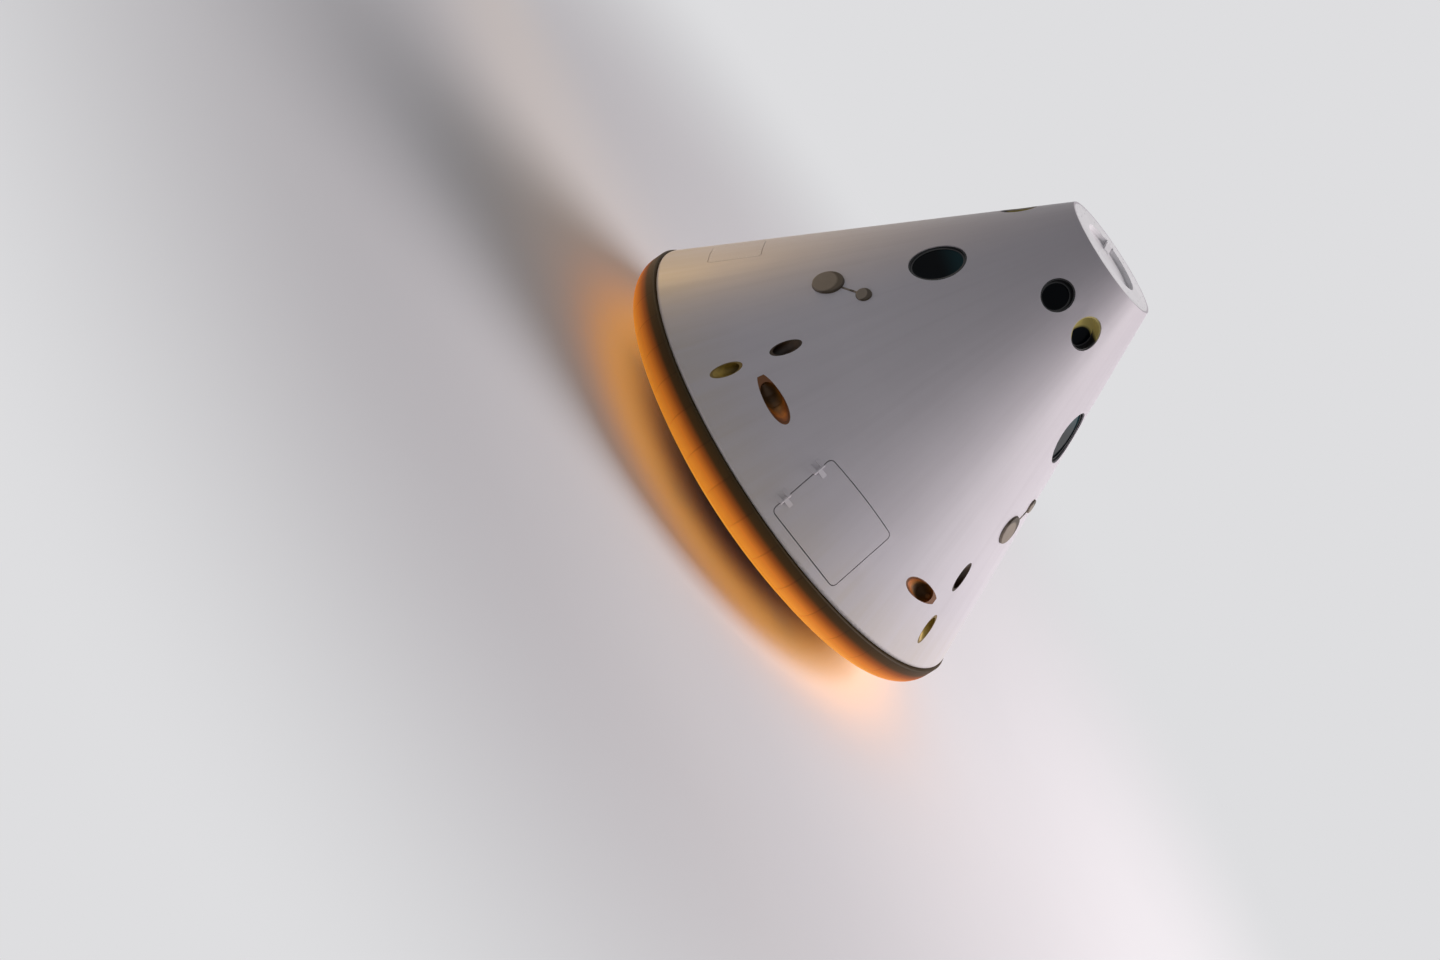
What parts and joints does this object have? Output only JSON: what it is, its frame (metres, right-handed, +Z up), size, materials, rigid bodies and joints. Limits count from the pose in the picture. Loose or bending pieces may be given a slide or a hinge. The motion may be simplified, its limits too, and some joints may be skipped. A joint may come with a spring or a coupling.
{
  "type": "space capsule",
  "caption": "Conical re-entry space capsule with a blunt ablative heat shield, hinged side and nose hatches, oval windows, round ports and flush canted thruster nozzles.",
  "frame": {"origin": "lowest point of the heat shield dish, on the capsule's axis, where it rests on a floor", "axes": "+Z up the axis from the heat shield to the nose; the side hatch faces -Y; +X to the right of someone who faces that hatch"},
  "size_m": [4.02, 4.02, 3.5952],
  "materials": {
    "ablator": "matt",
    "bare_aluminium": "satin",
    "bronze_liner": "satin",
    "dark_glass": "gloss",
    "grey_cover": "matt",
    "hinge_steel": "satin",
    "nozzle_bronze": "satin",
    "pad_metal": "satin",
    "rim_band": "matt",
    "white_metal": "satin",
    "white_shell": "satin"
  },
  "bodies": {
    "capsule": {"antenna_cover_1": "grey_cover", "antenna_cover_2": "grey_cover", "antenna_cover_3": "grey_cover", "backshell": "white_shell", "cabin_floor": "bare_aluminium", "cabin_longerons": "bare_aluminium", "cabin_rings": "bare_aluminium", "closeout_ring": "rim_band", "docking_tunnel": "bare_aluminium", "forward_deck": "bare_aluminium", "forward_hatch_hinge": "hinge_steel", "heat_shield": "ablator", "nose_ring": "white_metal", "port_liner_1": "bronze_liner", "port_liner_2": "bronze_liner", "port_liner_3": "bronze_liner", "port_liner_4": "bronze_liner", "port_liner_5": "bronze_liner", "port_liner_6": "bronze_liner", "port_pane_1": "dark_glass", "port_pane_2": "dark_glass", "port_pane_3": "dark_glass", "port_pane_4": "dark_glass", "port_pane_5": "dark_glass", "port_pane_6": "dark_glass", "separation_pads": "pad_metal", "service_panel": "white_shell", "side_hatch_frame": "bare_aluminium", "side_hatch_hinge": "hinge_steel", "thruster_pod_1": "nozzle_bronze", "thruster_pod_2": "nozzle_bronze", "thruster_pod_3": "nozzle_bronze", "thruster_pod_4": "nozzle_bronze", "window_frame_1": "bronze_liner", "window_frame_2": "bronze_liner", "window_frame_3": "bronze_liner", "window_pane_1": "dark_glass", "window_pane_2": "dark_glass", "window_pane_3": "dark_glass"},
    "side_hatch": {"side_hatch": "white_shell", "side_hatch_hinge_leaf": "hinge_steel", "side_hatch_latch": "hinge_steel"},
    "forward_hatch": {"forward_hatch": "white_metal", "forward_hatch_arm": "white_metal", "forward_hatch_latch": "hinge_steel"}
  },
  "joints": [
    {"name": "side_hatch_swing", "type": "hinge", "parent": "capsule", "child": "side_hatch", "pos_m": [-0.388, -1.79204, 0.99392], "axis": [0, -0.446, -0.895], "range_deg": [0, 110]},
    {"name": "forward_hatch_swing", "type": "hinge", "parent": "capsule", "child": "forward_hatch", "pos_m": [0, 0.345, 3.58319], "axis": [-1, 0, 0], "range_deg": [0, 105]}
  ]
}
